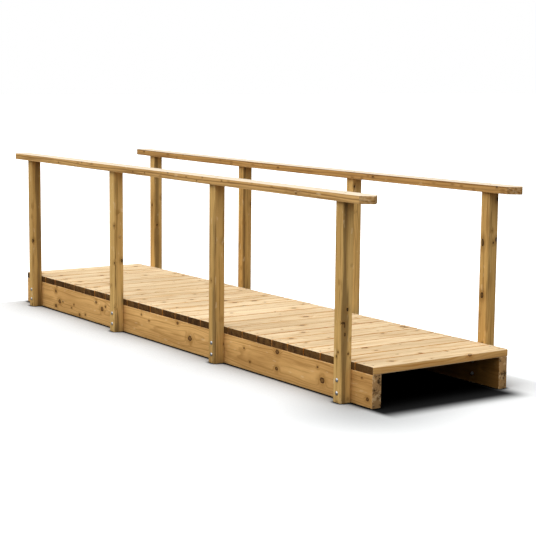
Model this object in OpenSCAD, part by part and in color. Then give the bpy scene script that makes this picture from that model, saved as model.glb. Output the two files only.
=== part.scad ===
// Wooden footbridge: two side beams on edge, boards laid across them, posts bolted outside, flat handrails.
// X runs along the bridge, Y across it, Z up. The origin is on the ground, under the middle of the deck.

/* [Deck] */
// Number of boards laid across the beams
board_count = 27; // [9:1:39]
// Width of one board, measured along the bridge
board_w = 120; // [90:1:180]
// Gap between one board and the next
board_gap = 4; // [1:0.5:10]
// Thickness of the boards
board_t = 34; // [20:1:45]
// Length of a board, which is the width of the deck
deck_w = 770; // [500:10:1400]

/* [Side beams] */
// Height of a side beam
beam_h = 145; // [95:1:250]
// Thickness of a side beam
beam_t = 48; // [35:1:95]

/* [Posts] */
// Number of posts on each side
post_count = 4; // [2:1:6]
// Side of the square post
post_s = 56; // [40:1:75]
// Radius on the post's four long edges
post_edge_r = 5; // [2:0.5:12]
// Distance from the end of the deck to the middle of the end post
post_inset = 172; // [60:1:400]

/* [Handrails] */
// Height of the handrail's top above the ground
rail_top = 900; // [700:10:1400]
// Width of the handrail plank
rail_w = 95; // [80:1:150]
// Thickness of the handrail plank
rail_t = 34; // [20:1:45]
// Distance that the handrail's tip reaches past the end of the deck
rail_reach = 28; // [0:1:150]
// Width of the flat tip that is left between the two cut corners
rail_tip = 9; // [2:1:60]
// Radius on the handrail's long edges
rail_edge_r = 5; // [1:0.5:8]

/* [Hidden] */
$fn = 32;
board_pitch = board_w + board_gap;
deck_l = board_count * board_pitch - board_gap;
post_l = rail_top - rail_t;
post_pitch = (deck_l - 2 * post_inset) / (post_count - 1);
post_y = deck_w / 2 + post_s / 2;
rail_l = deck_l + 2 * rail_reach;
rail_cut = (rail_w - rail_tip) / 2;

// The two sides: right is towards -Y and left towards +Y, for someone who walks along +X
SIDES = [["right", -1], ["left", 1]];

function two_digits(n) = str(n < 10 ? "0" : "", n);
function board_name(n) = str("deck_board_", two_digits(n));
function beam_name(side) = str("side_beam_", side[0]);
function rail_name(side) = str("handrail_", side[0]);
function post_name(side, n) = str("post_", side[0], "_", n);
function post_x(n) = post_inset - deck_l / 2 + (n - 1) * post_pitch;

// A rectangle with round corners, centred on the origin
module round_rect(size, r) {
    inner = [size[0] - 2 * r, size[1] - 2 * r];
    square([size[0], inner[1]], center = true);
    square([inner[0], size[1]], center = true);
    for (sx = [-1, 1], sy = [-1, 1])
        translate([sx * inner[0] / 2, sy * inner[1] / 2]) circle(r);
}

// A plank on edge, its outer face flush with the boards' ends
module side_beam(side) {
    color("#cfa467")
    translate([-deck_l / 2, side[1] * (deck_w - beam_t) / 2 - beam_t / 2, 0])
        cube([deck_l, beam_t, beam_h]);
}

// One board across both beams, counted from the -X end
module deck_board(n) {
    color("#ead0a2")
    translate([-deck_l / 2 + (n - 1) * board_pitch, -deck_w / 2, beam_h])
        cube([board_w, deck_w, board_t]);
}

// A square post against the outer face of its beam, from the ground to the handrail
module post(side, n) {
    color("#a9854b")
    translate([post_x(n), side[1] * post_y, 0])
        linear_extrude(post_l) round_rect([post_s, post_s], post_edge_r);
}

// Plan of a handrail: a long plank with both corners of each end cut off at 45 degrees
module rail_plan() {
    end_x = rail_l / 2;
    side_x = end_x - rail_cut;
    side_y = rail_w / 2;
    tip_y = rail_tip / 2;
    polygon([
        [side_x, side_y], [end_x, tip_y], [end_x, -tip_y], [side_x, -side_y],
        [-side_x, -side_y], [-end_x, -tip_y], [-end_x, tip_y], [-side_x, side_y]
    ]);
}

// A flat plank on top of one side's posts, centred over them
module handrail(side) {
    color("#d8bd8c")
    translate([0, side[1] * post_y, post_l])
    intersection() {
        linear_extrude(rail_t) rail_plan();
        translate([0, 0, rail_t / 2])
        rotate([90, 0, 90])
            linear_extrude(rail_l, center = true) round_rect([rail_w, rail_t], rail_edge_r);
    }
}

for (side = SIDES) side_beam(side);
for (n = [1 : board_count]) deck_board(n);
for (side = SIDES, n = [1 : post_count]) post(side, n);
for (side = SIDES) handrail(side);
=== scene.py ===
"""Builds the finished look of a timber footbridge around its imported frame, laid out as an add-on."""

import math
import random

import bmesh
import bpy
from bpy.props import FloatProperty, FloatVectorProperty, IntProperty, PointerProperty
from mathutils import Matrix, Vector


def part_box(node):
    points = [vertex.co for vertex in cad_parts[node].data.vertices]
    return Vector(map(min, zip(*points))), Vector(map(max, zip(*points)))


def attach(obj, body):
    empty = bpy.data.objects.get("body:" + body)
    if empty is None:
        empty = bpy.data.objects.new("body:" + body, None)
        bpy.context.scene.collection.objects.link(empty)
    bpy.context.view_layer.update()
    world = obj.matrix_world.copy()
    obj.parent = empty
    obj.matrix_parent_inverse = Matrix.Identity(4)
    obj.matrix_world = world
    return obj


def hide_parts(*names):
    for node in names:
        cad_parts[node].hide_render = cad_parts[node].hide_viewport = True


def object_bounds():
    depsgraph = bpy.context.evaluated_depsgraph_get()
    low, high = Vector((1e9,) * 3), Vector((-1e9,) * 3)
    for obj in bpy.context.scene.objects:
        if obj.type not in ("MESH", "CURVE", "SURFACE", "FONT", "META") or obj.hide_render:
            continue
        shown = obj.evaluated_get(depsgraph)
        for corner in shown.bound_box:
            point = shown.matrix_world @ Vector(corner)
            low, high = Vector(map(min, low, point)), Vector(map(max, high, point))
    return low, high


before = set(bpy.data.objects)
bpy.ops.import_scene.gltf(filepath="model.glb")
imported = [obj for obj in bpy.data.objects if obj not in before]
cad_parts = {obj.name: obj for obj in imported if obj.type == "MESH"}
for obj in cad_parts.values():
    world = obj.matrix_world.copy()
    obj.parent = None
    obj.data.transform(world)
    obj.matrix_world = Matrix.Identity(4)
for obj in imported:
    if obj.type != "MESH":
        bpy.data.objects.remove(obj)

bl_info = {
    "name": "Timber Footbridge",
    "version": (1, 0, 0),
    "blender": (4, 5, 0),
    "location": "View3D > Sidebar > Footbridge",
    "description": "Planks, posts, handrails, bolts and screws of a garden footbridge",
    "category": "Object",
}

SIDES = {"right": -1, "left": 1}
CAD_BOX = [list(corner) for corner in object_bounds()]
HALF_LENGTH = CAD_BOX[1][0]
MM = 0.001
X_AXIS = Vector((1, 0, 0))
Y_AXIS = Vector((0, 1, 0))
Z_AXIS = Vector((0, 0, 1))


def nodes_named(prefix):
    """The frame's nodes whose names start with prefix, in order."""
    return sorted(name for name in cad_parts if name.startswith(prefix))


# ---- settings


def number(name, description, default, **facts):
    """A setting that holds a number."""
    return FloatProperty(name=name, description=description, default=default, **facts)


def length(name, description, millimetres):
    """A setting that holds a length."""
    return number(name, description, millimetres * MM, min=0, unit="LENGTH")


def angle(name, description, degrees):
    """A setting that holds an angle."""
    return number(name, description, math.radians(degrees), subtype="ANGLE")


class TimberSettings(bpy.types.PropertyGroup):
    """Shape of the planed timber."""

    board_arris: length("Board Arris", "Radius on the long edges of a deck board", 4.5)
    beam_arris: length("Beam Arris", "Radius on the long edges of a side beam", 4)
    post_arris: length("Post Arris", "Radius on the long edges of a post", 5)
    rail_arris: length("Rail Arris", "Radius on the long edges of a handrail", 6.5)
    end_arris: length("End Arris", "Radius round the sawn end of a timber", 1.2)
    rail_corner: length("Rail Corner", "Radius on the upright edges of a handrail's cut end", 12)
    foot_arris: length("Foot Arris", "Radius round the foot and the top of a post", 4)
    spring: length("Spring", "How far the left handrail's ends have sprung up as it dried", 6)
    warp: length("Warp", "Largest bow or cup of a timber as it dries", 0.7)
    seed: IntProperty(
        name="Seed", description="Start of the random order that tells like timbers apart", default=11)


class FixingSettings(bpy.types.PropertyGroup):
    """Sizes of the bolts and screws."""

    bolt_low: length("Lower Bolt", "Height of the lower bolt above the ground", 43)
    bolt_high: length("Upper Bolt", "Height of the upper bolt above the ground", 100)
    bolt_d: length("Bolt Diameter", "Diameter of the bolt's shank", 8)
    head_d: length("Head Diameter", "Diameter of the bolt's domed head", 18.5)
    head_h: length("Head Height", "Height of the bolt's domed head", 5)
    washer_d: length("Washer Diameter", "Outer diameter of the washer", 17)
    washer_t: length("Washer Thickness", "Thickness of the washer", 1.6)
    nut_w: length("Nut Width", "Width of the nut across its flats", 13)
    nut_h: length("Nut Height", "Height of the nut", 6.5)
    bolt_tail: length("Bolt Tail", "Length of thread that stands out of the nut", 5)
    screw_d: length("Screw Diameter", "Diameter of a screw's countersunk head", 9)
    screw_sink: length("Screw Depth", "How far a screw's head lies below the timber", 0.8)
    screw_margin: length("Screw Margin", "Distance from a board's long edge to its screws", 30)


class StageSettings(bpy.types.PropertyGroup):
    """Camera and light."""

    camera_place: FloatVectorProperty(
        name="Camera", description="Where the camera stands", subtype="TRANSLATION",
        default=(6.329, -4.132, 1.411))
    camera_azimuth: angle("Azimuth", "Turn of the view from straight along +Y towards -X", 55.42)
    camera_tilt: angle("Tilt", "How far the view drops below level", 7.8)
    camera_roll: angle("Roll", "Turn of the view about its own axis", 0.54)
    lens: number("Lens", "Focal length in millimetres", 97.6)
    key_strength: number("Key", "Strength of the wide soft light on the right-hand side", 1.7)
    fill_strength: number("Fill", "Strength of the wide soft light on the front end", 0.95)
    sky_strength: number("Sky", "Strength of the even light from overhead", 0.54)
    floor_size: number("Floor", "Side of the square floor in metres", 120)


def settings():
    """The scene's settings for the bridge."""
    return bpy.context.scene.footbridge


class FootbridgeSettings(bpy.types.PropertyGroup):
    """Everything that can be set on the bridge."""

    timber: PointerProperty(type=TimberSettings)
    fixings: PointerProperty(type=FixingSettings)
    stage: PointerProperty(type=StageSettings)


# ---- shader helpers


def put(socket, value):
    """Links a socket to another socket, or sets its value. A colour needs no alpha."""
    if isinstance(value, bpy.types.NodeSocket):
        socket.id_data.links.new(value, socket)
    elif socket.type == "RGBA":
        socket.default_value = (*value, 1.0)
    else:
        socket.default_value = value


def add(tree, kind, ins=None, **facts):
    """A new node with its properties and inputs set. Inputs are named, or counted from 0."""
    made = tree.nodes.new("ShaderNode" + kind)
    for name, value in facts.items():
        setattr(made, name, value)
    for key, value in (ins or {}).items():
        put(made.inputs[key], value)
    return made


def calc(tree, operation, *values):
    """The result of a Math node."""
    return add(tree, "Math", dict(enumerate(values)), operation=operation).outputs[0]


def times(tree, value, *factors):
    """A product."""
    for factor in factors:
        value = calc(tree, "MULTIPLY", value, factor)
    return value


def scaled(tree, value, factor, base):
    """base + value * factor."""
    return calc(tree, "MULTIPLY_ADD", value, factor, base)


def highest(tree, *values):
    """The largest of some values."""
    found, *others = values
    for value in others:
        found = calc(tree, "MAXIMUM", found, value)
    return found


def vector_calc(tree, operation, *values):
    """The result of a Vector Math node: a number for a length or a distance, or else a vector."""
    made = add(tree, "VectorMath", dict(enumerate(values)), operation=operation)
    return made.outputs["Value" if operation in ("LENGTH", "DISTANCE") else "Vector"]


def step(tree, value, low, high, to_low=0.0, to_high=1.0):
    """value mapped from low..high to to_low..to_high along a smooth step. low may be the larger."""
    ins = dict(enumerate((value, low, high, to_low, to_high)))
    return add(tree, "MapRange", ins, interpolation_type="SMOOTHSTEP").outputs[0]


def blend(tree, share, a, b, mode="MIX"):
    """Two colours mixed, the second one by share."""
    made = add(tree, "Mix", data_type="RGBA", blend_type=mode)
    for key, value in ((0, share), (6, a), (7, b)):
        put(made.inputs[key], value)
    return made.outputs[2]


def noise(tree, vector, along, across, detail=2.0, roughness=0.5):
    """Smooth noise from 0 to 1, scaled by one number along the grain and another across it."""
    stretched = vector_calc(tree, "MULTIPLY", vector, (along, across, across))
    made = add(tree, "TexNoise", {"Vector": stretched, "Scale": 1.0, "Detail": detail,
                                  "Roughness": roughness})
    return made.outputs[0]


def waver(tree, *noise_facts):
    """The same noise from -0.5 to 0.5."""
    return calc(tree, "SUBTRACT", noise(tree, *noise_facts), 0.5)


def place_in(tree):
    """Where a point lies on its object."""
    return add(tree, "TexCoord").outputs["Object"]


def parts_of(tree, vector):
    """A vector's X, Y and Z."""
    return add(tree, "SeparateXYZ", {0: vector}).outputs


def group(name, ins, outs):
    """An empty node group with its sockets, and its input and output nodes. Sockets are listed by
    kind. Spaces in their names are written as _."""
    tree = bpy.data.node_groups.new(name, "ShaderNodeTree")
    for in_out, kinds in (("INPUT", ins), ("OUTPUT", outs)):
        for kind, labels in kinds.items():
            for label in labels.split():
                tree.interface.new_socket(label.replace("_", " "), in_out=in_out,
                                          socket_type="NodeSocket" + kind)
    return tree, tree.nodes.new("NodeGroupInput").outputs, tree.nodes.new("NodeGroupOutput").inputs


def place_group(tree, pattern, **values):
    """A shared node group placed in a tree with its own values. It is built the first time it is
    asked for. Spaces in socket names are written as _."""
    shared = bpy.data.node_groups.get(pattern) or PATTERNS[pattern]()
    made = add(tree, "Group", node_tree=shared)
    for name, value in values.items():
        put(made.inputs[name.replace("_", " ")], value)
    return made.outputs


# ---- shared patterns


def growth_rings_group():
    """Growth rings round the pith, as the saw cuts through them: X runs along the grain."""
    tree, ins, outs = group("growth_rings", dict(Vector="Grain", Float="Ring_Width Waviness Push"),
                            dict(Float="Late Radius"))
    grain = ins["Grain"]
    radius = vector_calc(tree, "LENGTH", vector_calc(tree, "MULTIPLY", grain, (0, 1, 1)))
    swayed = scaled(tree, waver(tree, grain, 1.5, 8), ins["Waviness"], radius)
    rippled = scaled(tree, waver(tree, grain, 8, 45, 3), 0.004, swayed)
    pushed = calc(tree, "ADD", rippled, ins["Push"])
    count = calc(tree, "DIVIDE", pushed, ins["Ring Width"])
    part = calc(tree, "FRACT", count)
    rise = step(tree, part, 0.25, 0.85)
    fall = step(tree, part, 1, 0.86)
    year = add(tree, "TexWhiteNoise", {"W": calc(tree, "FLOOR", count)}, noise_dimensions="1D")
    strong = scaled(tree, calc(tree, "POWER", year.outputs["Value"], 2), 0.85, 0.15)
    put(outs["Late"], times(tree, rise, fall, strong))
    put(outs["Radius"], pushed)
    return tree


KNOT_MARKS = ("Core", "Rim", "Halo", "Push")


def knot_marks(tree, outs, share, size, there, before):
    """Turns the distance from a knot, in knot radii, into its core, rim, halo and push on the rings."""
    core = times(tree, step(tree, share, 1.1, 0.8), there)
    rim = times(tree, step(tree, share, 0.35, 0.85), core)
    halo = times(tree, step(tree, share, 3.4, 0.9), there)
    push = times(tree, step(tree, share, 0, 3.4, 1.1, 0), size, there)
    for name, value in zip(KNOT_MARKS, (core, rim, halo, push)):
        if before:
            value = calc(tree, "ADD" if name == "Push" else "MAXIMUM", value, before[name])
        put(outs[name], value)


def scattered_knots(name, dimensions):
    """Knots strewn over a timber at random, one at most in each cell: right through a plank as seen
    on its wide faces in 2D, or each at its own depth, so that they are round on every face, in 3D."""
    tree, ins, outs = group(name, dict(Vector="Grain", Float="Cell Chance Smallest Largest"),
                            dict(Float=" ".join(KNOT_MARKS)))
    longer = vector_calc(tree, "MULTIPLY", ins["Grain"], (0.74, 1, 1))
    cells = add(tree, "TexVoronoi",
                {"Vector": longer, "Scale": calc(tree, "DIVIDE", 1, ins["Cell"]), "Randomness": 0.9},
                voronoi_dimensions=dimensions).outputs
    luck = add(tree, "SeparateColor", {0: cells["Color"]}).outputs
    there = calc(tree, "LESS_THAN", luck[0], ins["Chance"])
    spread = calc(tree, "SUBTRACT", ins["Largest"], ins["Smallest"])
    size = scaled(tree, calc(tree, "POWER", luck[1], 1.6), spread, ins["Smallest"])
    away = calc(tree, "DIVIDE", times(tree, cells["Distance"], ins["Cell"]), size)
    share = scaled(tree, waver(tree, ins["Grain"], 110, 140), 0.9, away)
    knot_marks(tree, outs, share, size, there, None)
    return tree


def placed_knot_group():
    """One knot through a timber at a chosen place, added to the knots before it."""
    marks = " ".join(KNOT_MARKS)
    tree, ins, outs = group("placed_knot",
                            dict(Vector="Place Centre Spread", Float="Size Rough " + marks),
                            dict(Float=marks))
    offset = vector_calc(tree, "SUBTRACT", ins["Place"], ins["Centre"])
    away = vector_calc(tree, "LENGTH", vector_calc(tree, "MULTIPLY", offset, ins["Spread"]))
    share = calc(tree, "ADD", calc(tree, "DIVIDE", away, ins["Size"]), ins["Rough"])
    knot_marks(tree, outs, share, ins["Size"], 1, ins)
    return tree


def timber_skin_group():
    """Colour, roughness and height of planed pine from its rings, fibres, heartwood and knots."""
    tree, ins, outs = group(
        "timber_skin",
        dict(Vector="Grain",
             Float="Late Radius Core Rim Halo Tone Ring_Strength Streak_Strength Heart_Radius"
                   " Tone_Strength Check_Strength Cloud_Strength",
             Color="Early Late_Wood Streak Heart Knot"),
        dict(Color="Colour", Float="Roughness Height"))
    grain = ins["Grain"]
    fibre = noise(tree, grain, 14, 700, 3, 0.6)
    streak = noise(tree, grain, 2.6, 70, 3, 0.6)
    cloud = waver(tree, grain, 2.2, 14, 3)
    check = step(tree, noise(tree, grain, 5, 210, 1), 0.7, 0.76)
    checked = times(tree, check, ins["Check Strength"])
    ragged = scaled(tree, calc(tree, "SUBTRACT", streak, 0.5), 0.035, ins["Radius"])
    inner = times(tree, ins["Heart Radius"], 0.55)
    heart = step(tree, ragged, ins["Heart Radius"], inner)
    scuff = step(tree, noise(tree, grain, 16, 50, 2), 0.66, 0.72)
    warm = blend(tree, 0.35, ins["Knot"], ins["Streak"])
    mixed = ins["Early"]
    for share, colour in (
            (times(tree, ins["Late"], ins["Ring Strength"]), ins["Late Wood"]),
            (times(tree, step(tree, streak, 0.52, 0.7), ins["Streak Strength"]), ins["Streak"]),
            (times(tree, heart, 0.7), ins["Heart"]),
            (times(tree, ins["Halo"], 0.6), ins["Streak"]),
            (times(tree, ins["Core"], 0.85), warm),
            (times(tree, ins["Rim"], 0.9), ins["Knot"]),
            (checked, ins["Knot"]),
            (times(tree, scuff, 0.3), SCUFFED)):
        mixed = blend(tree, share, mixed, colour)
    light = scaled(tree, calc(tree, "SUBTRACT", fibre, 0.5), 0.35, 1)
    cloudy = scaled(tree, cloud, ins["Cloud Strength"], light)
    lift = times(tree, calc(tree, "SUBTRACT", ins["Tone"], 0.5), ins["Tone Strength"])
    toned = calc(tree, "ADD", cloudy, lift)
    warmth = add(tree, "CombineColor", {0: toned, 1: calc(tree, "POWER", toned, 1.25),
                                        2: calc(tree, "POWER", toned, 1.6)}).outputs[0]
    put(outs["Colour"], blend(tree, 1, mixed, warmth, "MULTIPLY"))
    put(outs["Roughness"], scaled(tree, ins["Core"], -0.12, scaled(tree, fibre, 0.2, 0.5)))
    ridge = scaled(tree, ins["Late"], 0.5, times(tree, fibre, 0.5))
    put(outs["Height"], scaled(tree, checked, -1.2, scaled(tree, ins["Core"], 0.4, ridge)))
    return tree


def end_grain_group():
    """Colour and height of a sawn end: ring arcs, short checks from the pith and saw marks."""
    tree, ins, outs = group(
        "end_grain",
        dict(Vector="Grain", Float="Late Tone Patch_Strength", Color="Light Dark Patch"),
        dict(Color="Colour", Float="Height"))
    grain = ins["Grain"]
    parts = parts_of(tree, grain)
    angle = calc(tree, "ARCTAN2", parts[2], parts[1])
    spokes = add(tree, "CombineXYZ",
                 {0: times(tree, angle, 26), 1: times(tree, parts[1], 12),
                  2: times(tree, parts[2], 12)}).outputs[0]
    check = step(tree, noise(tree, spokes, 1, 1, 1), 0.7, 0.76)
    fuzz = noise(tree, grain, 60, 27, 6, 0.7)
    saw = add(tree, "TexWave", {"Vector": grain, "Scale": 55, "Distortion": 2.5, "Detail": 2},
              bands_direction="DIAGONAL").outputs["Fac"]
    patch = noise(tree, grain, 20, 36, 4, 0.6)
    shade = scaled(tree, ins["Late"], 0.6, scaled(tree, fuzz, 4.2, -1.8))
    deeper = scaled(tree, ins["Tone"], 0.5, shade)
    base = blend(tree, step(tree, deeper, 0.35, 1), ins["Light"], ins["Dark"])
    pale = times(tree, step(tree, patch, 0.54, 0.62), ins["Patch Strength"])
    patched = blend(tree, pale, base, ins["Patch"])
    put(outs["Colour"], blend(tree, times(tree, check, 0.7), patched, CRACK))
    put(outs["Height"], scaled(tree, check, -0.8, scaled(tree, saw, 0.35, times(tree, fuzz, 0.8))))
    return tree


def zinc_bloom_group():
    """The mottled brightness of zinc plate, with dull film in places."""
    tree, ins, outs = group("zinc_bloom", dict(Vector="Place", Color="Bright Dull"),
                            dict(Color="Colour", Float="Roughness"))
    spots = noise(tree, ins["Place"], 420, 420, 3, 0.6)
    put(outs["Colour"], blend(tree, step(tree, spots, 0.4, 0.7), ins["Bright"], ins["Dull"]))
    put(outs["Roughness"], scaled(tree, spots, 0.22, 0.24))
    return tree


PATTERNS = {
    "growth_rings": growth_rings_group,
    "plank_knots": lambda: scattered_knots("plank_knots", "2D"),
    "stick_knots": lambda: scattered_knots("stick_knots", "3D"),
    "placed_knot": placed_knot_group,
    "timber_skin": timber_skin_group,
    "end_grain": end_grain_group,
    "zinc_bloom": zinc_bloom_group,
}


# ---- materials

# What sets each kind of timber apart, by the node group that takes it. Colours are linear. One entry sets
# how far upward faces turn paler, partly sun bleaching and partly painted top light; another tints the
# painted shade on shaded faces.
LOOKS = {
    "beam": dict(
        knots="plank_knots", bleach_and_top_light=0, painted_shade=(0.36, 0.31, 0.22), wear=0.3,
        scatter=dict(Cell=0.15, Chance=0.3, Smallest=0.0025, Largest=0.009),
        rings=dict(Ring_Width=0.006, Waviness=0.055),
        skin=dict(
            Early=(0.72, 0.42, 0.15), Late_Wood=(0.37, 0.18, 0.047), Streak=(0.4, 0.2, 0.054),
            Heart=(0.36, 0.19, 0.06), Knot=(0.046, 0.017, 0.006), Ring_Strength=0.65,
            Streak_Strength=0.55, Heart_Radius=0.02, Tone_Strength=0.3, Check_Strength=0.25,
            Cloud_Strength=0.8),
        ends=dict(
            Light=(0.37, 0.215, 0.09), Dark=(0.022, 0.012, 0.005), Patch=(0.62, 0.44, 0.24),
            Patch_Strength=0.6)),
    "deck": dict(
        knots="plank_knots", bleach_and_top_light=0.02, painted_shade=(0.7, 0.42, 0.06), wear=0.3,
        scatter=dict(Cell=0.12, Chance=0.6, Smallest=0.003, Largest=0.012),
        rings=dict(Ring_Width=0.008, Waviness=0.09),
        skin=dict(
            Early=(0.88, 0.7, 0.45), Late_Wood=(0.62, 0.36, 0.13), Streak=(0.6, 0.33, 0.105),
            Heart=(0.64, 0.41, 0.18), Knot=(0.09, 0.028, 0.006), Ring_Strength=0.8, Streak_Strength=0.75,
            Heart_Radius=0.01, Tone_Strength=0.16, Check_Strength=0.25, Cloud_Strength=0.5),
        ends=dict(
            Light=(0.125, 0.06, 0.017), Dark=(0.062, 0.028, 0.009), Patch=(0.17, 0.09, 0.03),
            Patch_Strength=0.4)),
    "post": dict(
        knots="stick_knots", bleach_and_top_light=0, painted_shade=(1, 1, 1), wear=0,
        scatter=dict(Cell=0.048, Chance=0.5, Smallest=0.0035, Largest=0.0085),
        rings=dict(Ring_Width=0.0055, Waviness=0.04),
        skin=dict(
            Early=(0.64, 0.4, 0.137), Late_Wood=(0.35, 0.19, 0.055), Streak=(0.27, 0.14, 0.038),
            Heart=(0.15, 0.087, 0.03), Knot=(0.022, 0.01, 0.004), Ring_Strength=0.75, Streak_Strength=0.7,
            Heart_Radius=0.016, Tone_Strength=0.35, Check_Strength=0.7, Cloud_Strength=0.75),
        ends=dict(
            Light=(0.2, 0.125, 0.06), Dark=(0.07, 0.042, 0.02), Patch=(0.3, 0.2, 0.1), Patch_Strength=0.3)),
    "rail": dict(
        knots="stick_knots", bleach_and_top_light=0.66, painted_shade=(1, 1, 1), wear=0.25,
        scatter=dict(Cell=0.042, Chance=0.8, Smallest=0.003, Largest=0.0065),
        rings=dict(Ring_Width=0.012, Waviness=0.02),
        skin=dict(
            Early=(0.62, 0.37, 0.135), Late_Wood=(0.25, 0.12, 0.033), Streak=(0.27, 0.135, 0.04),
            Heart=(0.24, 0.13, 0.05), Knot=(0.035, 0.016, 0.006), Ring_Strength=1, Streak_Strength=0.7,
            Heart_Radius=0.012, Tone_Strength=0.4, Check_Strength=0.7, Cloud_Strength=0.5),
        ends=dict(
            Light=(0.3, 0.155, 0.055), Dark=(0.15, 0.072, 0.024), Patch=(0.4, 0.24, 0.1),
            Patch_Strength=0)),
}
# Colour that upward faces turn towards: partly sun bleaching, partly painted top light and sheen.
BLEACHED_AND_TOP_LIT = (0.97, 0.9, 0.76)
WORN = (0.8, 0.6, 0.36)
SCUFFED = (0.9, 0.7, 0.42)
CRACK = (0.012, 0.008, 0.005)

# Knots in chosen places on one timber: centre and radius. A knot runs right through the timber
# along the axis whose spread is 0, and is an oval along the axis whose spread is under 1.
BEAM_Y = -0.385
BEAM_KNOTS = [
    ((x, BEAM_Y, z), (0.75, 0, 1), size) for x, z, size in (
        (-1.29, 0.112, 0.009), (-1.24, 0.058, 0.012), (-1.29, 0.026, 0.01), (-1.2, 0.062, 0.005),
        (-1.06, 0.065, 0.005), (-1.09, 0.042, 0.005), (-0.99, 0.016, 0.008), (-0.92, 0.026, 0.006),
        (-0.79, 0.115, 0.008), (-0.72, 0.087, 0.012), (-0.68, 0.105, 0.006), (-0.28, 0.12, 0.005),
        (-0.2, 0.1, 0.005), (0.09, 0.13, 0.008), (0.21, 0.07, 0.014), (0.7, 0.101, 0.005),
        (0.75, 0.043, 0.005), (0.975, 0.129, 0.011), (0.97, 0.05, 0.009), (1.285, 0.112, 0.005),
        (1.32, 0.059, 0.013), (1.6, 0.122, 0.004), (1.64, 0.036, 0.008))
]
CHOSEN_KNOTS = {
    "beam_right": BEAM_KNOTS,
    "deck_22": [
        ((1.007, 0.352, 0.179), (1, 0.6, 0), 0.009), ((1.02, 0.322, 0.179), (1, 0.7, 0), 0.004)],
    "deck_23": [((1.101, 0.338, 0.179), (1, 0.6, 0), 0.005)],
    "deck_24": [
        ((1.161, 0.336, 0.179), (1, 0.6, 0), 0.006), ((1.15, 0.372, 0.179), (1, 0.6, 0), 0.006),
        ((1.185, 0.352, 0.179), (1, 0.8, 0), 0.003), ((1.149, 0.093, 0.179), (1, 0.7, 0), 0.004)],
    "deck_27": [((1.671, 0.16, 0.175), (0.8, 0.6, 1), 0.007)],
    "post_right_3": [((0.526, -0.452, 0.58), (1, 1, 0.008), 0.0036)],
    "post_right_4": [
        ((1.528, -0.435, 0.35), (1, 0.55, 1.1), 0.006), ((1.528, -0.426, 0.338), (1, 1, 0.3), 0.003),
        ((1.528, -0.424, 0.3), (1, 1, 0.5), 0.004),
        ((1.505, -0.441, 0.222), (1, 1, 0.8), 0.004), ((1.528, -0.405, 0.215), (1, 1, 0.8), 0.004)],
    "post_left_4": [
        ((1.49, 0.385, 0.64), (1, 1, 0.5), 0.009), ((1.528, 0.432, 0.655), (1, 1, 0.6), 0.006),
        ((1.495, 0.385, 0.4), (1, 1, 0.6), 0.009)],
}


def attribute(tree, name):
    """The node that reads one of the piece's own attributes."""
    return add(tree, "Attribute", attribute_name=name).outputs


def new_material(name):
    """An empty node material with its Principled shader's inputs."""
    made = bpy.data.materials.new(name)
    made.use_nodes = True
    return made, made.node_tree, made.node_tree.nodes["Principled BSDF"].inputs


def timber_material(name, look):
    """Planed pine with sawn ends. It reads the grain attributes that each timber carries."""
    made, tree, shader = new_material(name)
    grain = attribute(tree, "grain")["Vector"]
    tone, end, side, arris = (
        attribute(tree, key)["Fac"] for key in ("tone", "sawn_end", "painted_shade_amount", "arris"))
    knots = place_group(tree, look["knots"], Grain=grain, **look["scatter"])
    place = place_in(tree)
    rough = scaled(tree, noise(tree, place, 120, 120), 0.7, -0.35)
    for centre, spread, size in CHOSEN_KNOTS.get(name, ()):
        knots = place_group(tree, "placed_knot", Place=place, Centre=centre, Spread=spread,
                            Size=size, Rough=rough, **{key: knots[key] for key in KNOT_MARKS})
    rings = place_group(tree, "growth_rings", Grain=grain, Push=knots["Push"], **look["rings"])
    skin = place_group(
        tree, "timber_skin", Grain=grain, Late=rings["Late"], Radius=rings["Radius"],
        Core=knots["Core"], Rim=knots["Rim"], Halo=knots["Halo"], Tone=tone, **look["skin"])
    sawn = place_group(tree, "end_grain", Grain=grain, Late=rings["Late"], Tone=tone, **look["ends"])
    facing = parts_of(tree, add(tree, "NewGeometry").outputs["Normal"])
    # Painted top light: faces that point up turn paler, partly as sun bleaching and partly in place of the
    # light and sheen from overhead.
    top_light_share = times(tree, step(tree, facing[2], 0.5, 0.95), look["bleach_and_top_light"])
    bleached_and_top_lit = blend(tree, top_light_share, skin["Colour"], BLEACHED_AND_TOP_LIT)
    # Painted shade: the faces marked for it (the beams' inner faces, the deck boards' sides in the gaps and
    # the last board's outer side) are darkened by the look's shade tint, twice over past 1.
    painted_shading = blend(tree, side, bleached_and_top_lit, look["painted_shade"], "MULTIPLY")
    twice = blend(tree, calc(tree, "SUBTRACT", side, 1), painted_shading, look["painted_shade"], "MULTIPLY")
    ended = blend(tree, end, twice, sawn["Colour"])
    chips = step(tree, noise(tree, grain, 30, 90, 2), 0.42, 0.62)
    put(shader["Base Color"], blend(tree, times(tree, chips, arris, look["wear"]), ended, WORN))
    put(shader["Roughness"], scaled(tree, end, 0.25, skin["Roughness"]))
    height = add(tree, "Mix", {0: end, 2: skin["Height"], 3: sawn["Height"]}).outputs[0]
    bump = add(tree, "Bump", {"Height": height, "Strength": 0.55, "Distance": 0.0006})
    put(shader["Normal"], bump.outputs[0])
    put(shader["Specular IOR Level"], 0.08)
    return made


def zinc_material():
    """Bright zinc plate on bolts and screws."""
    made, tree, shader = new_material("zinc_plate")
    bloom = place_group(tree, "zinc_bloom", Place=place_in(tree), Bright=(0.6, 0.62, 0.65),
                        Dull=(0.36, 0.37, 0.39))
    put(shader["Base Color"], bloom["Colour"])
    put(shader["Roughness"], bloom["Roughness"])
    put(shader["Metallic"], 1)
    return made


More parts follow.
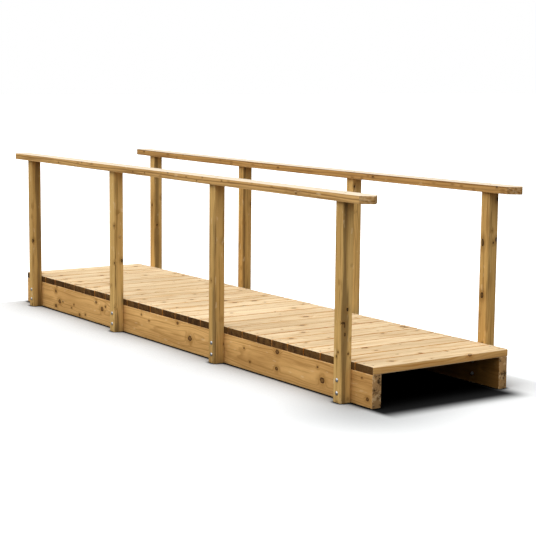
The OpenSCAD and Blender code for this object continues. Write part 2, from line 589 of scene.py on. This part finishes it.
def finish_for(name):
    """A piece's material, made the first time it is asked for. Timbers without knots in chosen
    places share the one of their kind."""
    kind = name.split("_")[0]
    if kind in LOOKS and name not in CHOSEN_KNOTS:
        name = kind + "_pine"
    found = bpy.data.materials.get(name)
    if found:
        return found
    return timber_material(name, LOOKS[kind]) if kind in LOOKS else zinc_material()


# ---- shape helpers


def box_shape(low, high):
    """A box between two corners."""
    bm = bmesh.new()
    bmesh.ops.create_cube(bm, size=1.0)
    bmesh.ops.scale(bm, vec=high - low, verts=bm.verts)
    bmesh.ops.translate(bm, vec=(high + low) / 2, verts=bm.verts)
    return bm


def round_along(bm, axis, radius, segments):
    """Rounds the edges that run along an axis."""
    along = [e for e in bm.edges if abs((e.verts[0].co - e.verts[1].co).normalized().dot(axis)) > 0.99]
    round_edges(bm, along, radius, segments)


def round_rims(bm, axis, radius, segments):
    """Rounds the edges all round the two flat faces that lie across an axis."""
    bm.normal_update()
    flat = {f for f in bm.faces if abs(f.normal.dot(axis)) > 0.99}
    round_edges(bm, [e for e in bm.edges if sum(f in flat for f in e.link_faces) == 1], radius, segments)


def round_edges(bm, edges, radius, segments):
    """Rounds some edges, as a router does."""
    bmesh.ops.bevel(bm, geom=edges, offset=radius, offset_type="OFFSET", segments=segments,
                    profile=0.5, affect="EDGES", clamp_overlap=True, material=-1)


def plank_shape(low, high, axis, arris, end_arris, cuts):
    """A planed timber between two corners: rounded long edges, eased ends and cuts along its length."""
    bm = box_shape(low, high)
    round_along(bm, axis, arris, 4)
    round_rims(bm, axis, end_arris, 2)
    slice_across(bm, axis, low.dot(axis), high.dot(axis), cuts)
    return bm


def slice_across(bm, axis, start, stop, cuts):
    """Cuts a timber across its length, so that it can bend."""
    for n in range(1, cuts + 1):
        place = axis * (start + (stop - start) * n / (cuts + 1))
        geom = bm.verts[:] + bm.edges[:] + bm.faces[:]
        bmesh.ops.bisect_plane(bm, geom=geom, plane_co=place, plane_no=axis)


def bow(bm, axis, direction, amount, middle, half):
    """Bends a timber along its length so that its middle moves by amount while its ends stay."""
    for v in bm.verts:
        share = (v.co.dot(axis) - middle) / half
        v.co += direction * amount * (1 - share * share)


def mesh_from(name, bm):
    """A mesh made from a bmesh, which is freed."""
    mesh = bpy.data.meshes.new(name)
    bm.to_mesh(mesh)
    bm.free()
    return mesh


def new_object(name, data):
    """A new object in the scene."""
    made = bpy.data.objects.new(name, data)
    bpy.context.scene.collection.objects.link(made)
    return made


def new_piece(name, bm, material, replaced=()):
    """Turns a bmesh into a finished piece that rides on the bridge."""
    bm.normal_update()
    piece = new_object(name, mesh_from(name, bm))
    piece.data.materials.append(material)
    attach(piece, "root")
    if replaced:
        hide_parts(*replaced)
    return piece


def mark_grain(piece, axis, width_axis, pith, shift, tone, painted_shading=None, fall=0.0):
    """Stores each point's place along and across the grain, the timber's tone and its kinds of face.
    The next to last argument says how much painted shade darkens each face; the tone falls by fall, as
    painted shade, up to the front end."""
    mesh = piece.data
    turn = Matrix((axis, width_axis, axis.cross(width_axis)))
    lows, highs = piece_box(piece)
    centre = (lows + highs) / 2
    grain = mesh.attributes.new("grain", "FLOAT_VECTOR", "POINT")
    offset = Vector((shift, pith[0], pith[1]))
    for n, v in enumerate(mesh.vertices):
        grain.data[n].vector = turn @ (v.co - centre) + offset
    tones = mesh.attributes.new("tone", "FLOAT", "POINT")
    tones.data.foreach_set(
        "value", [tone - fall * max(0, v.co.x / HALF_LENGTH) ** 2 for v in mesh.vertices])
    mark_faces(mesh, "sawn_end", lambda p: float(abs(p.normal.dot(axis)) > 0.6))
    mark_faces(mesh, "arris", lambda p: float(max(map(abs, p.normal)) < 0.985))
    mark_faces(mesh, "painted_shade_amount", painted_shading or (lambda p: 0.0))


def mark_faces(mesh, name, measure):
    """Stores one number on each face of a mesh."""
    made = mesh.attributes.get(name) or mesh.attributes.new(name, "FLOAT", "FACE")
    made.data.foreach_set("value", [measure(p) for p in mesh.polygons])


def piece_box(piece):
    """Lowest and highest corners of a piece's mesh."""
    points = [v.co for v in piece.data.vertices]
    low = Vector(min(p[k] for p in points) for k in range(3))
    high = Vector(max(p[k] for p in points) for k in range(3))
    return low, high


def soften(piece, angle=math.radians(40)):
    """Smooth shading over curved faces, with real edges kept."""
    mesh = piece.data
    mesh.shade_smooth()
    mesh.set_sharp_from_angle(angle=angle)


def cut_screw_holes(piece, places, fixings):
    """Sinks a cone for each screw's head into the top of a timber."""
    bm = bmesh.new()
    for place in places:
        hole_cone(bm, place, fixings)
    cutter = new_object("countersinks", mesh_from("countersinks", bm))
    cut = piece.modifiers.new("countersink", "BOOLEAN")
    cut.object = cutter
    cut.operation = "DIFFERENCE"
    cut.solver = "EXACT"
    graph = bpy.context.evaluated_depsgraph_get()
    done = bpy.data.meshes.new_from_object(piece.evaluated_get(graph), depsgraph=graph)
    piece.modifiers.clear()
    old, piece.data = piece.data, done
    done.name = piece.name
    bpy.data.meshes.remove(old)
    bpy.data.objects.remove(cutter)


def hole_cone(bm, place, fixings):
    """The space of one countersink: as wide as the head at its rim, and narrow below."""
    rim = fixings.screw_d / 2
    above = 1 * MM
    depth = fixings.screw_sink + rim
    made = bmesh.ops.create_cone(bm, cap_ends=True, segments=16, radius1=0.3 * rim,
                                 radius2=rim + fixings.screw_sink + above, depth=depth + above)
    bmesh.ops.translate(bm, vec=place + Z_AXIS * ((above - depth) / 2), verts=made["verts"])


def screw_head(bm, place, fixings, turn):
    """One countersunk head with a cross recess, sunk below the timber."""
    rim = fixings.screw_d / 2
    top = place - Z_AXIS * fixings.screw_sink
    made = bmesh.ops.create_cone(bm, cap_ends=True, segments=16, radius1=0.35 * rim, radius2=rim,
                                 depth=0.6 * rim)
    verts = made["verts"]
    cap = max((f for v in verts for f in v.link_faces), key=lambda f: f.calc_center_median().z)
    inner = bmesh.ops.inset_individual(bm, faces=[cap], thickness=0.45 * rim, depth=0)
    cross = bmesh.ops.extrude_discrete_faces(bm, faces=[cap])["faces"]
    for n, v in enumerate(cross[0].verts):
        v.co.z -= 0.3 * rim
        pull = 1.25 if n % 4 == 0 else 0.5
        v.co.xy *= pull
    verts = list({v for f in inner["faces"] + cross for v in f.verts} | set(verts))
    bmesh.ops.rotate(bm, cent=(0, 0, 0), matrix=Matrix.Rotation(turn, 3, "Z"), verts=verts)
    bmesh.ops.translate(bm, vec=top - Z_AXIS * (0.3 * rim), verts=verts)


def lathe(bm, profile, steps):
    """Spins a profile of (radius, height) points round Z, from the axis out and back to it."""
    verts = [bm.verts.new((r, 0, z)) for r, z in profile]
    edges = [bm.edges.new(pair) for pair in zip(verts, verts[1:])]
    made = bmesh.ops.spin(bm, geom=verts + edges, cent=(0, 0, 0), axis=(0, 0, 1), angle=math.tau,
                          steps=steps, use_merge=True)
    found = {v for f in bm.faces for v in f.verts} | set(verts)
    return [v for v in found if v.is_valid]


# ---- pieces

# How many cuts let a long timber, a board and a post bend.
LONG_CUTS, BOARD_CUTS, POST_CUTS = 23, 11, 15
# How far apart, in metres of grain, the patterns of two timbers may start.
GRAIN_SPAN = 50
# How much the tone of deck and beams falls up to the front end, as painted shade where the light falls off.
FRONT_SHADE = 0.6
# How much painted shade darkens the last board's outer side, which faces the front light, and the sides of
# boards in the gaps between them. Past 1, it is multiplied in twice.
OUTER_SHADE = 0.7
GAP_SHADES = (1.2, 1.9)

# Timbers with heartwood in a known place: the middle of the timber as seen from the pith, along its
# width and its thickness, and the timber's tone.
CHOSEN_HEARTS = {
    "post_right_4": ((-0.032, 0.015), 0.6),
    "post_right_3": ((-0.022, 0.038), 0.45),
    "post_right_2": ((-0.04, 0.02), 0.8),
    "post_right_1": ((-0.03, -0.006), 0.25),
    "post_left_4": ((-0.046, 0.02), 0.15),
    "post_left_3": ((0.045, 0.03), 0.95),
    "post_left_2": ((-0.034, 0.024), 0.05),
    "post_left_1": ((-0.03, 0.01), 0.72),
    "handrail_right": ((0.012, -0.075), 0.62),
    "handrail_left": ((-0.01, -0.07), 0.05),
}


def timber_random(name):
    """A random stream of its own for each timber, so that pieces can be made in any order."""
    return random.Random(f"{settings().timber.seed} {name}")


def make_side_beam(name):
    """A plank on edge with rough ends."""
    timber = settings().timber
    rng = timber_random(name)
    low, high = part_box(name)
    bm = plank_shape(low, high, X_AXIS, timber.beam_arris, 2 * timber.end_arris, LONG_CUTS)
    side = name.split("_")[-1]
    piece = new_piece(name + "_timber", bm, finish_for("beam_" + side), [name])
    pith = (rng.uniform(-0.02, 0.02), rng.choice((-1, 1)) * rng.uniform(0.045, 0.07))
    # The face towards the other beam, in the shade under the deck, is marked for painted shade.
    inward = -SIDES[side] * Y_AXIS
    mark_grain(piece, X_AXIS, Z_AXIS, pith, rng.uniform(0, GRAIN_SPAN), rng.uniform(0.45, 0.6),
               lambda p: float(p.normal.dot(inward) > 0.5), FRONT_SHADE)
    soften(piece)


def screw_places_on_board(name):
    """Where the screws go into a deck board: two over each beam."""
    margin = settings().fixings.screw_margin
    low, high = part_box(name)
    beams = [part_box(beam) for beam in nodes_named("side_beam")]
    return [Vector((x, (side[0].y + side[1].y) / 2, high.z)) for side in beams
            for x in (low.x + margin, high.x - margin)]


def make_deck_board(name):
    """A board across the beams, slightly cupped, with its screws sunk in."""
    bridge = settings()
    timber = bridge.timber
    rng = timber_random(name)
    low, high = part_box(name)
    slip = Vector((rng.uniform(-0.6, 0.6), rng.uniform(-1.5, 1.5), rng.uniform(-0.4, 0.2))) * MM
    bm = plank_shape(low, high, Y_AXIS, timber.board_arris, timber.end_arris, BOARD_CUTS)
    bmesh.ops.translate(bm, vec=slip, verts=bm.verts)
    bow(bm, Y_AXIS, Z_AXIS, rng.uniform(-0.3, 1.0) * timber.warp, 0, (high.y - low.y) / 2)
    bow(bm, Y_AXIS, X_AXIS, rng.uniform(-0.8, 0.8) * timber.warp, 0, (high.y - low.y) / 2)
    piece = new_piece(name + "_plank", bm, finish_for("deck_" + name[-2:]), [name])
    cut_screw_holes(piece, screw_places_on_board(name), bridge.fixings)
    pith = (rng.uniform(-0.04, 0.04), rng.choice((-1, 1)) * rng.uniform(0.03, 0.09))
    outer = high.x - 20 * MM if name == nodes_named("deck_board")[-1] else math.inf
    # Each board's sides in the gaps take their own amount of painted shade.
    painted_shade = rng.uniform(*GAP_SHADES)

    def gap_shade(p):
        """How much painted shade a face takes."""
        if p.center.x > outer:
            return OUTER_SHADE if p.normal.x > 0.9 else 0.0
        return painted_shade if abs(p.normal.x) > 0.2 else 0.0

    mark_grain(piece, Y_AXIS, X_AXIS, pith, rng.uniform(0, GRAIN_SPAN), rng.random(), gap_shade, FRONT_SHADE)
    soften(piece)


def rail_lift(side, x):
    """How far the left handrail springs up towards its ends at x."""
    return settings().timber.spring * (x / HALF_LENGTH) ** 2 if side == "left" else 0.0


def make_post(name):
    """A square post with rounded edges, up to the underside of its handrail."""
    timber = settings().timber
    rng = timber_random(name)
    low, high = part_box(name)
    high.z += rail_lift(name.split("_")[1], (low.x + high.x) / 2)
    bm = plank_shape(low, high, Z_AXIS, timber.post_arris, timber.foot_arris, POST_CUTS)
    piece = new_piece(name + "_timber", bm, finish_for(name), [name])
    side = rng.choice((-1, 1))
    pith = (side * rng.uniform(0.03, 0.045), rng.uniform(-0.03, 0.03))
    tone = rng.uniform(0.2, 0.8)
    pith, tone = CHOSEN_HEARTS.get(name, (pith, tone))
    mark_grain(piece, Z_AXIS, X_AXIS, pith, rng.uniform(0, GRAIN_SPAN), tone)
    soften(piece)


def rail_screw_places(name):
    """Where the screws go down through a handrail: two into the top of each post."""
    side = name.split("_")[-1]
    low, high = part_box(name)
    places = []
    for post in nodes_named("post_" + side):
        post_low, post_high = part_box(post)
        middle = (post_low + post_high) / 2
        reach = (post_high.y - post_low.y) / 4
        top = high.z + rail_lift(side, middle.x)
        places += [Vector((middle.x + k * reach, middle.y - k * reach, top)) for k in (-1, 1)]
    return places


def make_handrail(name):
    """A flat plank over the posts, with both corners of each end cut off and every edge rounded."""
    bridge = settings()
    timber = bridge.timber
    rng = timber_random(name)
    low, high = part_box(name)
    cut = rail_corner_cut(name, low, high)
    bm = box_shape(low, high)
    middle = (low + high) / 2
    for end in (-1, 1):
        for side in (-1, 1):
            edge_point = Vector((middle.x + end * (high.x - low.x) / 2,
                                 middle.y + side * ((high.y - low.y) / 2 - cut), 0))
            bisect_corner(bm, edge_point, Vector((end, side, 0)).normalized())
    bm.normal_update()
    round_along(bm, Z_AXIS, timber.rail_corner, 3)
    round_rims(bm, Z_AXIS, timber.rail_arris, 4)
    slice_across(bm, X_AXIS, low.x + 2 * cut, high.x - 2 * cut, LONG_CUTS)
    side_name = name.split("_")[-1]
    for v in bm.verts:
        v.co.z += rail_lift(side_name, v.co.x)
    piece = new_piece(name + "_timber", bm, finish_for("rail_" + side_name), [name])
    cut_screw_holes(piece, rail_screw_places(name), bridge.fixings)
    pith, tone = CHOSEN_HEARTS[name]
    mark_grain(piece, X_AXIS, Y_AXIS, pith, rng.uniform(0, GRAIN_SPAN), tone)
    mark_faces(piece.data, "sawn_end", lambda p: 0.5 * (abs(p.normal.x) > 0.3))
    soften(piece)


def rail_corner_cut(name, low, high):
    """How far in from the plank's side its corner is cut, read from the frame's own shape."""
    points = [v.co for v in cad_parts[name].data.vertices]
    tip = max(p.y for p in points if p.x > high.x - 0.1 * MM)
    return high.y - tip


def bisect_corner(bm, place, normal):
    """Cuts a corner off a plank and closes the cut."""
    geom = bm.verts[:] + bm.edges[:] + bm.faces[:]
    made = bmesh.ops.bisect_plane(bm, geom=geom, plane_co=place, plane_no=normal, clear_outer=True)
    rim = [e for e in made["geom_cut"] if isinstance(e, bmesh.types.BMEdge)]
    bmesh.ops.contextual_create(bm, geom=rim)


def bolt_shape(bm, place, outward, timber_t, fixings):
    """A coach bolt through post and beam: dome outside, washer, nut and thread inside."""
    part = bmesh.new()
    head_r = fixings.head_d / 2
    rim_h = 0.8 * MM
    dome = [(head_r * math.sin(a), rim_h + (fixings.head_h - rim_h) * math.cos(a))
            for a in (math.pi / 2 * n / 6 for n in range(7))]
    lathe(part, dome + [(head_r, 0), (0, 0)], 24)
    washer_r = fixings.washer_d / 2
    nut_top = -timber_t - fixings.washer_t
    lathe(part, [(0, -timber_t), (washer_r, -timber_t), (washer_r, nut_top), (0, nut_top)], 24)
    nut_r = fixings.nut_w / 2 / math.cos(math.pi / 6)
    flat_r = 0.93 * nut_r
    chamfer = 0.7 * MM
    tail_top = nut_top - fixings.nut_h
    lathe(part, [(0, nut_top), (flat_r, nut_top), (nut_r, nut_top - chamfer),
                 (nut_r, tail_top + chamfer), (flat_r, tail_top), (0, tail_top)], 6)
    crest_r = fixings.bolt_d / 2
    root_r = crest_r - 0.7 * MM
    pitch = 1.25 * MM
    turns = int(fixings.bolt_tail / pitch)
    thread = [(0, tail_top)]
    for n in range(turns):
        thread += [(crest_r, tail_top - n * pitch), (root_r, tail_top - (n + 0.5) * pitch)]
    tail_end = tail_top - turns * pitch
    lathe(part, thread + [(root_r, tail_end), (0, tail_end)], 16)
    bmesh.ops.remove_doubles(part, verts=part.verts, dist=1e-6)
    bmesh.ops.recalc_face_normals(part, faces=part.faces)
    turn = Z_AXIS.rotation_difference(outward).to_matrix()
    bmesh.ops.rotate(part, cent=(0, 0, 0), matrix=turn, verts=part.verts)
    bmesh.ops.translate(part, vec=place, verts=part.verts)
    mesh = mesh_from("bolt", part)
    bm.from_mesh(mesh)
    bpy.data.meshes.remove(mesh)


def metal_piece(name, bm):
    """A finished piece of zinc-plated bolts or screws."""
    soften(new_piece(name, bm, finish_for("zinc_plate")), math.radians(30))


def make_bolts(post):
    """The two coach bolts of one post."""
    fixings = settings().fixings
    side = post.split("_")[1]
    low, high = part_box(post)
    beam_low, beam_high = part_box("side_beam_" + side)
    timber_t = (high.y - low.y) + (beam_high.y - beam_low.y)
    face_y = low.y if SIDES[side] < 0 else high.y
    bm = bmesh.new()
    for height in (fixings.bolt_low, fixings.bolt_high):
        place = Vector(((low.x + high.x) / 2, face_y, height))
        bolt_shape(bm, place, Y_AXIS * SIDES[side], timber_t, fixings)
    metal_piece(post.replace("post", "coach_bolts"), bm)


def make_screws(name, places):
    """A run of screw heads joined in one piece, each turned its own way."""
    fixings = settings().fixings
    rng = timber_random(name)
    bm = bmesh.new()
    for place in places:
        screw_head(bm, place, fixings, rng.uniform(0, math.tau))
    metal_piece(name, bm)


# ---- stage


def make_floor():
    """A plain pale floor that darkens where little light gets in."""
    bm = bmesh.new()
    bmesh.ops.create_grid(bm, x_segments=1, y_segments=1, size=settings().stage.floor_size / 2)
    floor = new_object("floor", mesh_from("floor", bm))
    made, tree, shader = new_material("pale_floor")
    wide, close = (add(tree, "AmbientOcclusion", {"Distance": reach}, samples=8).outputs["AO"]
                   for reach in (0.5, 0.022))
    place = place_in(tree)
    soft = times(tree, wide, calc(tree, "POWER", close, 4.0))
    shade = times(tree, soft, calc(tree, "SUBTRACT", 1.0, under_deck(tree, place)))
    open_air = times(tree, highest(tree, shade, clear_ground(tree, place)), grey_pool(tree, place))
    grey = add(tree, "CombineColor", {0: open_air, 1: open_air, 2: open_air}).outputs[0]
    pale = blend(tree, 1.0, grey, (0.93, 0.955, 0.98), "MULTIPLY")
    unseen = calc(tree, "SUBTRACT", 1.0, add(tree, "LightPath").outputs["Is Camera Ray"])
    bounced = blend(tree, open_air, (0.0, 0.0, 0.0), (0.2, 0.195, 0.19))
    put(shader["Base Color"], blend(tree, unseen, pale, bounced))
    put(shader["Roughness"], 1.0)
    put(shader["Specular IOR Level"], 0.0)
    floor.data.materials.append(made)


def grey_pool(tree, place):
    """The dimming of the floor round the front end of the right-hand beam: 1 where there is none."""
    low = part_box("side_beam_right")[0]
    away = vector_calc(tree, "DISTANCE", place, (-low.x + 0.08, low.y - 0.06, 0))
    return step(tree, away, 0.0, 0.55, 0.62, 1.0)


def clear_ground(tree, place):
    """Over 1 on the floor past the back end and past the far side, to lift all shade there, or else 0.
    On the near side it starts further forward the further away it is."""
    parts = parts_of(tree, place)
    low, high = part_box("side_beam_left")
    behind = step(tree, parts[0], low.x - 0.02, low.x - 0.05)
    outside = calc(tree, "MINIMUM", calc(tree, "ADD", parts[1], high.y + 0.09), 0.0)
    aside = step(tree, scaled(tree, outside, 1.8, parts[0]), low.x + 0.1, low.x - 0.5)
    beyond = step(tree, parts[1], high.y, high.y + 0.32)
    return times(tree, highest(tree, behind, beyond, aside), 1.4)


def under_deck(tree, place):
    """1 on the floor below the deck, where no light gets in, and 0 outside. It fades slowly out of
    the front end, and fast everywhere else."""
    boards = nodes_named("deck_board")
    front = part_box(boards[-1])[1].x
    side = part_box(boards[0])[1].y
    parts = parts_of(tree, place)
    ahead = step(tree, parts[0], front + 0.205, front + 0.07)
    dim = step(tree, parts[0], front - 0.15, front + 0.08, 1.0, 0.975)
    behind = step(tree, parts[0], -front - 0.02, -front + 0.01)
    spill = step(tree, parts[0], front - 0.25, front, 0.03, 0.05)
    near = step(tree, parts[1], calc(tree, "SUBTRACT", -side, spill), -side)
    far = step(tree, parts[1], side + 0.03, side - 0.08)
    return times(tree, ahead, dim, behind, near, far)


def make_sky():
    """White all round to look at, and an even light that is stronger from above."""
    world = bpy.data.worlds.new("studio")
    bpy.context.scene.world = world
    world.use_nodes = True
    tree = world.node_tree
    tree.nodes.clear()
    out = add(tree, "OutputWorld")
    up = parts_of(tree, add(tree, "TexCoord").outputs["Generated"])[2]
    lift = times(tree, step(tree, up, 0.0, 0.85, 0.08, 1.75), settings().stage.sky_strength)
    light = add(tree, "Background", {0: (1.0, 0.99, 0.97), 1: lift}).outputs[0]
    white = add(tree, "Background", {0: (1, 1, 1), 1: 1.0}).outputs[0]
    seen = add(tree, "LightPath").outputs["Is Camera Ray"]
    put(out.inputs[0], add(tree, "MixShader", {0: seen, 1: light, 2: white}).outputs[0])


def make_soft_light(name, strength, towards):
    """One very wide soft light that comes from the direction towards."""
    data = bpy.data.lights.new(name, "SUN")
    data.energy = strength
    data.angle = math.radians(70)
    data.color = (1.0, 0.985, 0.96)
    lamp = new_object(name, data)
    lamp.rotation_mode = "QUATERNION"
    lamp.rotation_quaternion = Vector(towards).to_track_quat("Z", "Y")


def make_camera():
    """The camera, above handrail height, looking along the right-hand side from the front end."""
    stage = settings().stage
    data = bpy.data.cameras.new("camera")
    data.lens = stage.lens
    data.sensor_width = 36
    camera = new_object("camera", data)
    camera.location = stage.camera_place
    view = (Matrix.Rotation(stage.camera_azimuth, 4, "Z")
            @ Matrix.Rotation(math.radians(90) - stage.camera_tilt, 4, "X")
            @ Matrix.Rotation(stage.camera_roll, 4, "Z"))
    camera.rotation_mode = "QUATERNION"
    camera.rotation_quaternion = view.to_quaternion()
    bpy.context.scene.camera = camera


# ---- operators and panel


class NodeByNode:
    """Makes something at each of the frame's nodes whose names start with prefix."""

    def execute(self, context):
        for name in nodes_named(self.prefix):
            self.make(name)
        return {"FINISHED"}


class FOOTBRIDGE_OT_side_beams(NodeByNode, bpy.types.Operator):
    """Make the two side beams."""

    bl_idname = "footbridge.side_beams"
    bl_label = "Side Beams"
    prefix = "side_beam"
    make = staticmethod(make_side_beam)


class FOOTBRIDGE_OT_deck_boards(NodeByNode, bpy.types.Operator):
    """Make the boards of the deck."""

    bl_idname = "footbridge.deck_boards"
    bl_label = "Deck Boards"
    prefix = "deck_board"
    make = staticmethod(make_deck_board)


class FOOTBRIDGE_OT_posts(NodeByNode, bpy.types.Operator):
    """Make the posts."""

    bl_idname = "footbridge.posts"
    bl_label = "Posts"
    prefix = "post"
    make = staticmethod(make_post)


class FOOTBRIDGE_OT_handrails(NodeByNode, bpy.types.Operator):
    """Make the two handrails."""

    bl_idname = "footbridge.handrails"
    bl_label = "Handrails"
    prefix = "handrail"
    make = staticmethod(make_handrail)


class FOOTBRIDGE_OT_coach_bolts(NodeByNode, bpy.types.Operator):
    """Bolt each post to its beam."""

    bl_idname = "footbridge.coach_bolts"
    bl_label = "Coach Bolts"
    prefix = "post"
    make = staticmethod(make_bolts)


class FOOTBRIDGE_OT_screws(bpy.types.Operator):
    """Screw the boards to the beams and the handrails to the posts."""

    bl_idname = "footbridge.screws"
    bl_label = "Screws"

    def execute(self, context):
        places = [p for name in nodes_named("deck_board") for p in screw_places_on_board(name)]
        for side, sign in SIDES.items():
            make_screws("deck_screws_" + side, [p for p in places if p.y * sign > 0])
        for name in nodes_named("handrail"):
            make_screws(name + "_screws", rail_screw_places(name))
        return {"FINISHED"}


class FOOTBRIDGE_OT_stage(bpy.types.Operator):
    """Make the floor, the light and the camera."""

    bl_idname = "footbridge.stage"
    bl_label = "Stage"

    def execute(self, context):
        make_floor()
        make_sky()
        stage = settings().stage
        make_soft_light("key", stage.key_strength, (-0.3, -0.75, 0.62))
        make_soft_light("fill", stage.fill_strength, (0.75, -0.12, 0.65))
        make_camera()
        context.scene.view_settings.view_transform = "Standard"
        return {"FINISHED"}


OPERATORS = (
    FOOTBRIDGE_OT_side_beams,
    FOOTBRIDGE_OT_deck_boards,
    FOOTBRIDGE_OT_posts,
    FOOTBRIDGE_OT_handrails,
    FOOTBRIDGE_OT_coach_bolts,
    FOOTBRIDGE_OT_screws,
    FOOTBRIDGE_OT_stage,
)


class FOOTBRIDGE_PT_panel(bpy.types.Panel):
    """The bridge's settings and steps in the 3D view's sidebar."""

    bl_idname = "FOOTBRIDGE_PT_panel"
    bl_label = "Footbridge"
    bl_space_type = "VIEW_3D"
    bl_region_type = "UI"
    bl_category = "Footbridge"

    def draw(self, context):
        bridge = context.scene.footbridge
        for part in (bridge.timber, bridge.fixings, bridge.stage):
            box = self.layout.box()
            for name in part.__annotations__:
                box.prop(part, name)
        for operator in OPERATORS:
            self.layout.operator(operator.bl_idname)


CLASSES = (TimberSettings, FixingSettings, StageSettings, FootbridgeSettings, *OPERATORS,
           FOOTBRIDGE_PT_panel)


def register():
    for item in CLASSES:
        bpy.utils.register_class(item)
    bpy.types.Scene.footbridge = PointerProperty(type=FootbridgeSettings)


def unregister():
    del bpy.types.Scene.footbridge
    for item in reversed(CLASSES):
        bpy.utils.unregister_class(item)


def main():
    """Builds every piece and the stage."""
    register()
    for operator in OPERATORS:
        module, name = operator.bl_idname.split(".")
        getattr(getattr(bpy.ops, module), name)()


if __name__ == "__main__":
    main()
